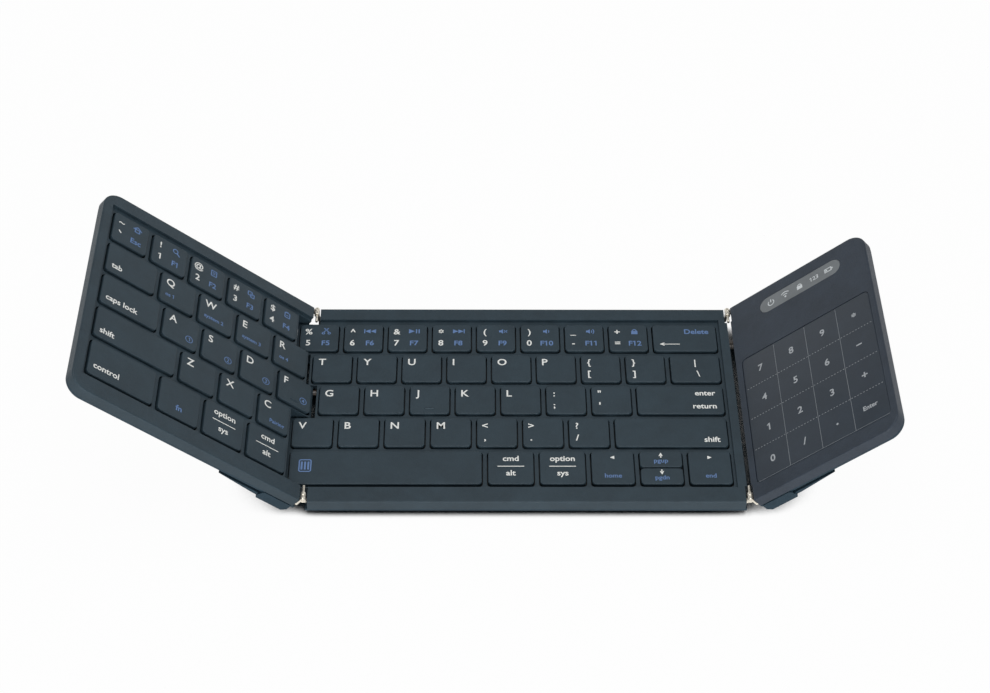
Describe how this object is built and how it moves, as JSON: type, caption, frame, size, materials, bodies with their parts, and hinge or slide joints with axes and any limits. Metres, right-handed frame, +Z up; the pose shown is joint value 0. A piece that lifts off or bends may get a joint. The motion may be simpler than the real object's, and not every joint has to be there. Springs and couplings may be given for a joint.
{
  "type": "folding keyboard",
  "caption": "Pocket keyboard in three hinged panels: a centre key panel, a key wing that folds over it from the left and a touch number pad wing that folds over it from the right.",
  "frame": {"origin": "the lower face of the rubber foot in the middle of the centre panel, on the table", "axes": "+X to the user's right, along the rows of keys; +Y to the back, away from the user; +Z up"},
  "size_m": [0.2874, 0.0984, 0.0702],
  "materials": {
    "shell_plastic": "fine matt moulded shell",
    "frame_plastic": "satin moulded deck",
    "key_plastic": "matt key caps with printed legends",
    "plate_steel": "zinc-plated sheet",
    "membrane_film": "clear film with printed silver tracks",
    "silicone": "translucent silicone",
    "scissor_plastic": "white acetal",
    "hinge_steel": "nickel-plated steel",
    "screw_steel": "blackened steel",
    "foot_rubber": "matt rubber",
    "flex_film": "amber polyimide ribbon",
    "touch_film": "matt printed film",
    "circuit_board": "green solder mask",
    "smoke_window": "grey translucent plastic",
    "battery_foil": "foil pouch",
    "port_steel": "tin-plated steel"
  },
  "bodies": {
    "centre_panel": {"centre_bottom_shell": "shell_plastic", "centre_top_frame": "frame_plastic", "centre_key_plate": "plate_steel", "centre_membrane": "membrane_film", "centre_domes": "silicone", "centre_scissors": "scissor_plastic", "centre_hinge_leaves": "hinge_steel", "hinge_pins": "hinge_steel", "centre_screws": "screw_steel", "centre_feet": "foot_rubber", "ribbon_cables": "flex_film"},
    "left_wing": {"left_bottom_shell": "shell_plastic", "left_top_frame": "frame_plastic", "left_key_plate": "plate_steel", "left_membrane": "membrane_film", "left_domes": "silicone", "left_scissors": "scissor_plastic", "left_hinge_leaves": "hinge_steel", "left_screws": "screw_steel", "left_feet": "foot_rubber"},
    "right_wing": {"right_bottom_shell": "shell_plastic", "right_top_frame": "frame_plastic", "touch_number_pad": "touch_film", "touch_sensor_board": "circuit_board", "indicator_window": "smoke_window", "main_board": "circuit_board", "battery": "battery_foil", "charging_port": "port_steel", "right_hinge_leaves": "hinge_steel", "right_screws": "screw_steel", "right_feet": "foot_rubber"},
    "keys_grave_to_4": {"keys_grave_to_4": "key_plastic"},
    "keys_e_r": {"keys_e_r": "key_plastic"},
    "keys_d_f": {"keys_d_f": "key_plastic"},
    "keys_z_x_c": {"keys_z_x_c": "key_plastic"},
    "keys_option_cmd_left": {"keys_option_cmd_left": "key_plastic"},
    "keys_control_fn": {"keys_control_fn": "key_plastic"},
    "key_left_shift": {"key_left_shift": "key_plastic"},
    "key_tab": {"key_tab": "key_plastic"},
    "key_caps_lock": {"key_caps_lock": "key_plastic"},
    "keys_q_w": {"keys_q_w": "key_plastic"},
    "keys_a_s": {"keys_a_s": "key_plastic"},
    "key_space": {"key_space": "key_plastic"},
    "key_enter": {"key_enter": "key_plastic"},
    "keys_5_6_7_8": {"keys_5_6_7_8": "key_plastic"},
    "keys_t_y_u": {"keys_t_y_u": "key_plastic"},
    "keys_g_h_j": {"keys_g_h_j": "key_plastic"},
    "keys_v_b_n": {"keys_v_b_n": "key_plastic"},
    "key_backspace": {"key_backspace": "key_plastic"},
    "key_right_shift": {"key_right_shift": "key_plastic"},
    "keys_cmd_option_right": {"keys_cmd_option_right": "key_plastic"},
    "key_arrow_left": {"key_arrow_left": "key_plastic"},
    "key_arrow_up": {"key_arrow_up": "key_plastic"},
    "key_arrow_down": {"key_arrow_down": "key_plastic"},
    "key_arrow_right": {"key_arrow_right": "key_plastic"},
    "keys_9_0_minus_equals": {"keys_9_0_minus_equals": "key_plastic"},
    "keys_i_o_p": {"keys_i_o_p": "key_plastic"},
    "keys_brackets_backslash": {"keys_brackets_backslash": "key_plastic"},
    "keys_k_l_semicolon_quote": {"keys_k_l_semicolon_quote": "key_plastic"},
    "keys_m_comma_period_slash": {"keys_m_comma_period_slash": "key_plastic"}
  },
  "joints": [
    {"name": "left_wing_hinge", "type": "hinge", "parent": "centre_panel", "child": "left_wing", "pos_m": [-0.08, 0, 0.00855], "axis": [0, 1, 0], "range_deg": [-40, 140], "deforming": ["ribbon_cables"]},
    {"name": "right_wing_hinge", "type": "hinge", "parent": "centre_panel", "child": "right_wing", "pos_m": [0.08, 0, 0.00855], "axis": [0, -1, 0], "range_deg": [-41.5, 138.5]},
    {"name": "key_space_press", "type": "slide", "parent": "centre_panel", "child": "key_space", "axis": [0, 0, 1], "range_m": [-0.0014, 0], "stiffness_N_per_m": 400, "deforming": ["centre_domes", "centre_scissors"]},
    {"name": "keys_grave_to_4_press", "type": "slide", "parent": "left_wing", "child": "keys_grave_to_4", "axis": [0.6428, 0, 0.766], "range_m": [-0.0014, 0], "stiffness_N_per_m": 400, "deforming": ["left_domes", "left_scissors"]},
    {"name": "key_enter_press", "type": "slide", "parent": "centre_panel", "child": "key_enter", "axis": [0, 0, 1], "range_m": [-0.0014, 0], "stiffness_N_per_m": 400},
    {"name": "key_left_shift_press", "type": "slide", "parent": "left_wing", "child": "key_left_shift", "axis": [0.6428, 0, 0.766], "range_m": [-0.0014, 0], "stiffness_N_per_m": 400},
    {"name": "keys_5_6_7_8_press", "type": "slide", "parent": "centre_panel", "child": "keys_5_6_7_8", "axis": [0, 0, 1], "range_m": [-0.0014, 0], "stiffness_N_per_m": 400},
    {"name": "key_arrow_up_press", "type": "slide", "parent": "centre_panel", "child": "key_arrow_up", "axis": [0, 0, 1], "range_m": [-0.0014, 0], "stiffness_N_per_m": 400},
    {"name": "key_arrow_down_press", "type": "slide", "parent": "centre_panel", "child": "key_arrow_down", "axis": [0, 0, 1], "range_m": [-0.0014, 0], "stiffness_N_per_m": 400},
    {"name": "keys_e_r_press", "type": "slide", "parent": "left_wing", "child": "keys_e_r", "axis": [0.6428, 0, 0.766], "range_m": [-0.0014, 0], "stiffness_N_per_m": 400},
    {"name": "keys_d_f_press", "type": "slide", "parent": "left_wing", "child": "keys_d_f", "axis": [0.6428, 0, 0.766], "range_m": [-0.0014, 0], "stiffness_N_per_m": 400},
    {"name": "keys_z_x_c_press", "type": "slide", "parent": "left_wing", "child": "keys_z_x_c", "axis": [0.6428, 0, 0.766], "range_m": [-0.0014, 0], "stiffness_N_per_m": 400},
    {"name": "keys_option_cmd_left_press", "type": "slide", "parent": "left_wing", "child": "keys_option_cmd_left", "axis": [0.6428, 0, 0.766], "range_m": [-0.0014, 0], "stiffness_N_per_m": 400},
    {"name": "keys_t_y_u_press", "type": "slide", "parent": "centre_panel", "child": "keys_t_y_u", "axis": [0, 0, 1], "range_m": [-0.0014, 0], "stiffness_N_per_m": 400},
    {"name": "keys_g_h_j_press", "type": "slide", "parent": "centre_panel", "child": "keys_g_h_j", "axis": [0, 0, 1], "range_m": [-0.0014, 0], "stiffness_N_per_m": 400},
    {"name": "keys_v_b_n_press", "type": "slide", "parent": "centre_panel", "child": "keys_v_b_n", "axis": [0, 0, 1], "range_m": [-0.0014, 0], "stiffness_N_per_m": 400},
    {"name": "key_tab_press", "type": "slide", "parent": "left_wing", "child": "key_tab", "axis": [0.6428, 0, 0.766], "range_m": [-0.0014, 0], "stiffness_N_per_m": 400},
    {"name": "key_backspace_press", "type": "slide", "parent": "centre_panel", "child": "key_backspace", "axis": [0, 0, 1], "range_m": [-0.0014, 0], "stiffness_N_per_m": 400},
    {"name": "key_right_shift_press", "type": "slide", "parent": "centre_panel", "child": "key_right_shift", "axis": [0, 0, 1], "range_m": [-0.0014, 0], "stiffness_N_per_m": 400},
    {"name": "keys_cmd_option_right_press", "type": "slide", "parent": "centre_panel", "child": "keys_cmd_option_right", "axis": [0, 0, 1], "range_m": [-0.0014, 0], "stiffness_N_per_m": 400},
    {"name": "keys_control_fn_press", "type": "slide", "parent": "left_wing", "child": "keys_control_fn", "axis": [0.6428, 0, 0.766], "range_m": [-0.0014, 0], "stiffness_N_per_m": 400},
    {"name": "key_caps_lock_press", "type": "slide", "parent": "left_wing", "child": "key_caps_lock", "axis": [0.6428, 0, 0.766], "range_m": [-0.0014, 0], "stiffness_N_per_m": 400},
    {"name": "key_arrow_left_press", "type": "slide", "parent": "centre_panel", "child": "key_arrow_left", "axis": [0, 0, 1], "range_m": [-0.0014, 0], "stiffness_N_per_m": 400},
    {"name": "key_arrow_right_press", "type": "slide", "parent": "centre_panel", "child": "key_arrow_right", "axis": [0, 0, 1], "range_m": [-0.0014, 0], "stiffness_N_per_m": 400},
    {"name": "keys_q_w_press", "type": "slide", "parent": "left_wing", "child": "keys_q_w", "axis": [0.6428, 0, 0.766], "range_m": [-0.0014, 0], "stiffness_N_per_m": 400},
    {"name": "keys_a_s_press", "type": "slide", "parent": "left_wing", "child": "keys_a_s", "axis": [0.6428, 0, 0.766], "range_m": [-0.0014, 0], "stiffness_N_per_m": 400},
    {"name": "keys_9_0_minus_equals_press", "type": "slide", "parent": "centre_panel", "child": "keys_9_0_minus_equals", "axis": [0, 0, 1], "range_m": [-0.0014, 0], "stiffness_N_per_m": 400},
    {"name": "keys_i_o_p_press", "type": "slide", "parent": "centre_panel", "child": "keys_i_o_p", "axis": [0, 0, 1], "range_m": [-0.0014, 0], "stiffness_N_per_m": 400},
    {"name": "keys_brackets_backslash_press", "type": "slide", "parent": "centre_panel", "child": "keys_brackets_backslash", "axis": [0, 0, 1], "range_m": [-0.0014, 0], "stiffness_N_per_m": 400},
    {"name": "keys_k_l_semicolon_quote_press", "type": "slide", "parent": "centre_panel", "child": "keys_k_l_semicolon_quote", "axis": [0, 0, 1], "range_m": [-0.0014, 0], "stiffness_N_per_m": 400},
    {"name": "keys_m_comma_period_slash_press", "type": "slide", "parent": "centre_panel", "child": "keys_m_comma_period_slash", "axis": [0, 0, 1], "range_m": [-0.0014, 0], "stiffness_N_per_m": 400}
  ]
}
